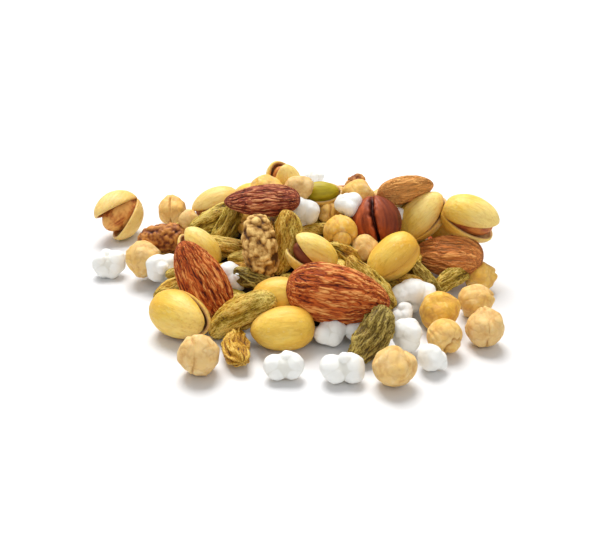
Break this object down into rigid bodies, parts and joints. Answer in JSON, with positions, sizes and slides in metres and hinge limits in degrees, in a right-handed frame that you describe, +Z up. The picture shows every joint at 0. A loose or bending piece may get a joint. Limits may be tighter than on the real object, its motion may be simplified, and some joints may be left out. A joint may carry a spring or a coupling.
{
  "type": "heap of trail mix",
  "caption": "Loose low heap of nuts, roasted and sugar-coated chickpeas, green raisins and dried mulberries, lying on a flat surface with a few pieces scattered round it.",
  "frame": {"origin": "on the surface that the heap lies on, 6 mm in front of the point under the middle of its core", "axes": "+Z up, +X to the viewer's right, +Y away from the viewer"},
  "size_m": [0.1201, 0.1381, 0.0311],
  "materials": {
    "core": "matte",
    "almond": "matte brown skin",
    "shell": "satin",
    "kernel": "matte",
    "chickpea": "matte",
    "sugared": "satin sugar crust",
    "raisin": "wrinkled, slightly translucent",
    "mulberry": "matte, wrinkled",
    "hazelnut": "satin"
  },
  "bodies": {
    "root": {"trail_mix_heap": "core", "sugared_chickpea_behind": "sugared", "chickpea_behind": "chickpea", "pistachio_apart": "shell", "sugared_chickpea_left": "sugared", "chickpea_right_far": "chickpea", "sugared_chickpea_right_near": "sugared", "chickpea_right": "chickpea", "chickpea_right_curled": "chickpea", "sugared_chickpea_right": "sugared", "chickpea_front_left": "chickpea", "sugared_chickpea_front": "sugared", "sugared_chickpea_front_right": "sugared", "chickpea_front_right": "chickpea"}
  },
  "joints": []
}
